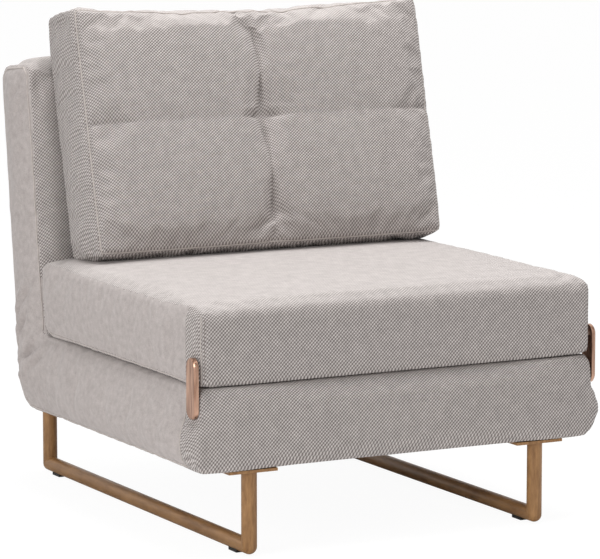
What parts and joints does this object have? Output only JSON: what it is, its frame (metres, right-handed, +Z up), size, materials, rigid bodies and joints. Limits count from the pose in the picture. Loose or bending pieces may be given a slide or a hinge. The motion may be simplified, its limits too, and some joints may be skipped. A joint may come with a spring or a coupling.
{
  "type": "convertible chair bed",
  "caption": "Upholstered armless chair that folds out into a single bed: turnover seat section on copper strap links, reclining back, loose tufted pillow and tubular sled legs.",
  "frame": {"origin": "centre of the part's footprint on the floor, in chair form", "axes": "+Z up; the seat's front faces -Y; +X to the right as seen from the front; X is the axis of the strap links and of the recliner"},
  "size_m": [0.7852, 0.8599, 0.8875],
  "materials": {
    "steel": "steel tube with a printed wood-grain finish in warm brown",
    "glide_plastic": "dark moulded plastic",
    "rail_steel": "black powder coat",
    "frame_steel": "black powder coat",
    "board": "bare hardboard",
    "slat_wood": "lacquered laminated beech",
    "slat_plastic": "black moulded plastic",
    "copper": "brushed copper plating with a bevelled rim",
    "hinge_steel": "zinc-plated",
    "cover_fabric": "light greige twill with plain side panels",
    "foam": "open-cell polyurethane foam",
    "leg_steel": "black powder coat",
    "foot_rubber": "black rubber",
    "zip_tape": "woven zip tape with nylon teeth",
    "zip_metal": "silver-coloured metal"
  },
  "bodies": {
    "base": {"sled_leg_left": "steel", "sled_leg_right": "steel", "floor_glides": "glide_plastic", "rear_rails": "rail_steel", "rail_end_caps": "glide_plastic", "base_frame": "frame_steel", "base_panel": "board", "base_slats": "slat_wood", "base_slat_holders": "slat_plastic", "base_cover": "cover_fabric", "base_foam": "foam", "corner_gusset": "cover_fabric", "base_hinge_brackets": "hinge_steel", "recliner_fixed_plates": "hinge_steel", "recliner_pins": "hinge_steel"},
    "links": {"link_strap_left": "copper", "link_strap_right": "copper", "link_pins": "hinge_steel"},
    "seat": {"seat_cover": "cover_fabric", "seat_foam_lower": "foam", "seat_foam_upper": "foam", "seat_frame": "frame_steel", "seat_slats": "slat_wood", "seat_slat_holders": "slat_plastic", "seat_hinge_brackets": "hinge_steel", "seat_leg_pivots": "hinge_steel"},
    "seat_leg_left": {"seat_leg_left": "leg_steel", "seat_leg_foot_left": "foot_rubber"},
    "seat_leg_right": {"seat_leg_right": "leg_steel", "seat_leg_foot_right": "foot_rubber"},
    "back": {"back_cover": "cover_fabric", "back_foam": "foam", "back_rear_pad": "foam", "back_frame": "frame_steel", "back_slats": "slat_wood", "back_slat_holders": "slat_plastic", "recliner_moving_plates": "hinge_steel", "recliner_pawls": "hinge_steel", "back_leg_brackets": "hinge_steel", "back_leg_pins": "hinge_steel"},
    "back_leg": {"back_leg": "leg_steel", "back_leg_feet": "foot_rubber"},
    "pillow": {"pillow_cover": "cover_fabric", "pillow_filling": "foam", "pillow_zip_tape": "zip_tape"},
    "zip_slider": {"zip_slider": "zip_metal", "zip_pull": "zip_metal"}
  },
  "joints": [
    {"name": "link_swing", "type": "hinge", "parent": "base", "child": "links", "pos_m": [0, -0.4095, 0.2599], "axis": [1, 0, 0], "range_deg": [0, 90]},
    {"name": "seat_flip", "type": "hinge", "parent": "links", "child": "seat", "pos_m": [0, -0.4095, 0.3309], "axis": [1, 0, 0], "range_deg": [0, 90]},
    {"name": "seat_leg_left_drop", "type": "hinge", "parent": "seat", "child": "seat_leg_left", "pos_m": [-0.285, 0.2085, 0.3608], "axis": [0, -1, 0], "range_deg": [0, 90]},
    {"name": "seat_leg_right_drop", "type": "hinge", "parent": "seat", "child": "seat_leg_right", "pos_m": [0.285, 0.2085, 0.3608], "axis": [0, 1, 0], "range_deg": [0, 90]},
    {"name": "pillow_lift", "type": "hinge", "parent": "seat", "child": "pillow", "pos_m": [0, 0.254, 0.50933], "axis": [1, 0, 0], "range_deg": [-180, 0]},
    {"name": "back_recline", "type": "hinge", "parent": "base", "child": "back", "pos_m": [0, 0.23056, 0.283], "axis": [-1, 0, 0], "range_deg": [0, 83], "deforming": ["corner_gusset"]},
    {"name": "back_leg_drop", "type": "hinge", "parent": "back", "child": "back_leg", "pos_m": [0, 0.41023, 0.70424], "axis": [-1, 0, 0], "range_deg": [-83, 0]},
    {"name": "zip_slide", "type": "slide", "parent": "pillow", "child": "zip_slider", "axis": [1, 0, 0], "range_m": [0, 0.561]}
  ],
  "couplings": [
    {"joint": "seat_flip", "follows": "link_swing", "ratio": 1},
    {"joint": "seat_leg_left_drop", "follows": "link_swing", "ratio": 1},
    {"joint": "seat_leg_right_drop", "follows": "link_swing", "ratio": 1},
    {"joint": "pillow_lift", "follows": "link_swing", "ratio": -2},
    {"joint": "back_leg_drop", "follows": "back_recline", "ratio": -1}
  ]
}
